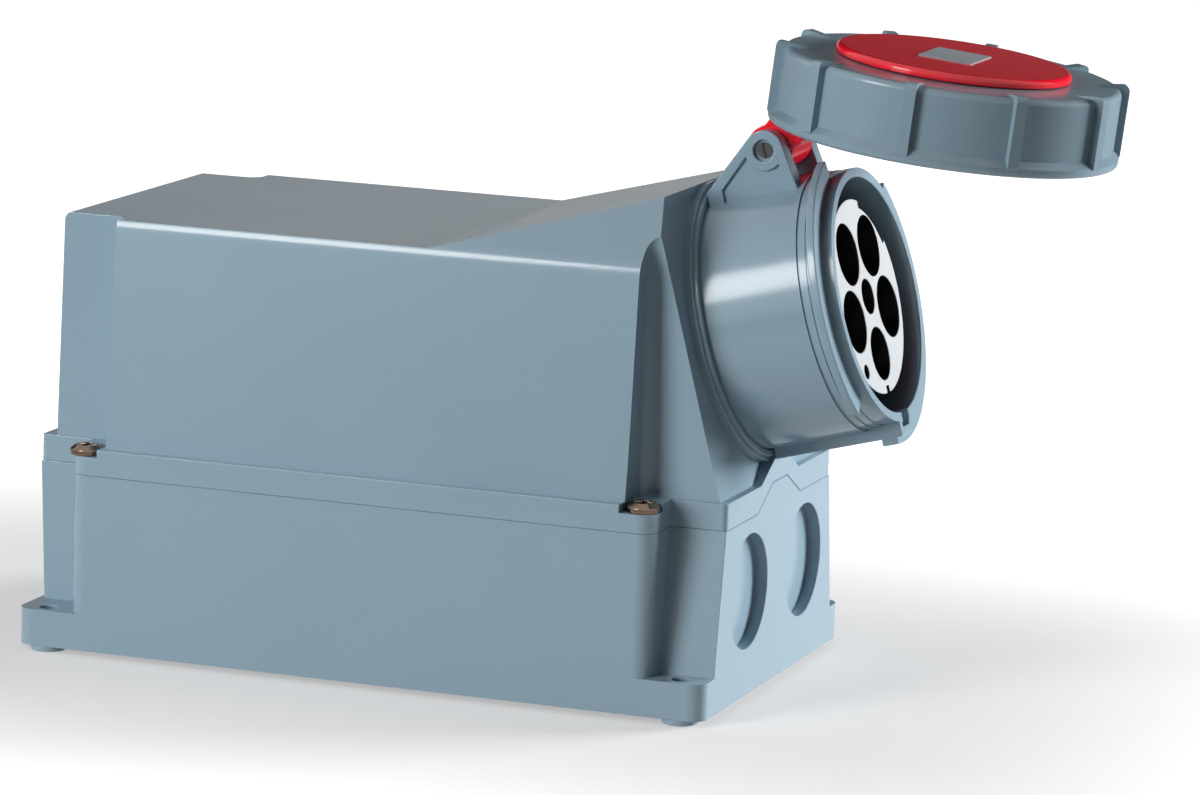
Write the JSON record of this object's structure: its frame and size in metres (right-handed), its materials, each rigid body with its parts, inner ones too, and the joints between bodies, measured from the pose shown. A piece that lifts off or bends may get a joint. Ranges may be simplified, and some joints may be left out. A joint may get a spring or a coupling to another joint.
{
  "type": "industrial socket",
  "caption": "Wall-mounted industrial pin-and-sleeve socket: grey box and sloped hood, tilted round barrel with contact sleeves, red hinged lid and ribbed bayonet ring.",
  "frame": {"origin": "centre of the four wall-fixing holes, on the mounting plane under the foot pads", "axes": "+X along the base towards the socket end, +Y across the base, +Z away from the wall"},
  "size_m": [0.372, 0.155, 0.2303],
  "materials": {
    "housing": "moulded, satin gloss",
    "ring": "moulded, satin gloss",
    "lid": "moulded, gloss",
    "carrier": "moulded, satin",
    "rubber": "moulded",
    "steel": "bright",
    "brass": "turned",
    "label": "printed foil"
  },
  "bodies": {
    "housing": {"base_box": "housing", "cover_hood": "housing", "cover_gasket": "rubber", "cover_screws": "steel", "threaded_inserts": "brass", "socket_barrel": "housing", "barrel_gasket": "rubber", "barrel_screws": "steel", "contact_carrier": "carrier", "carrier_screws": "steel", "retainer_plate": "carrier", "retainer_screws": "steel", "phase_sleeve_1": "brass", "phase_sleeve_2": "brass", "phase_sleeve_3": "brass", "neutral_sleeve": "brass", "earth_sleeve": "brass", "pilot_sleeve": "brass", "terminal_screws": "steel", "hinge_pin": "steel"},
    "lid": {"lid_plate": "lid", "lid_disc": "lid", "lid_gasket": "rubber", "lid_screws": "steel", "lid_label": "label"},
    "ring": {"bayonet_ring": "ring"}
  },
  "joints": [
    {"name": "lid_swing", "type": "hinge", "parent": "housing", "child": "lid", "pos_m": [0.12319, 0, 0.19089], "axis": [0, 1, 0], "range_deg": [-25, 68.6]},
    {"name": "ring_turn", "type": "hinge", "parent": "lid", "child": "ring", "pos_m": [0.18183, 0, 0.1987], "axis": [-0.1045, 0, -0.9945], "range_deg": [0, 40]}
  ]
}
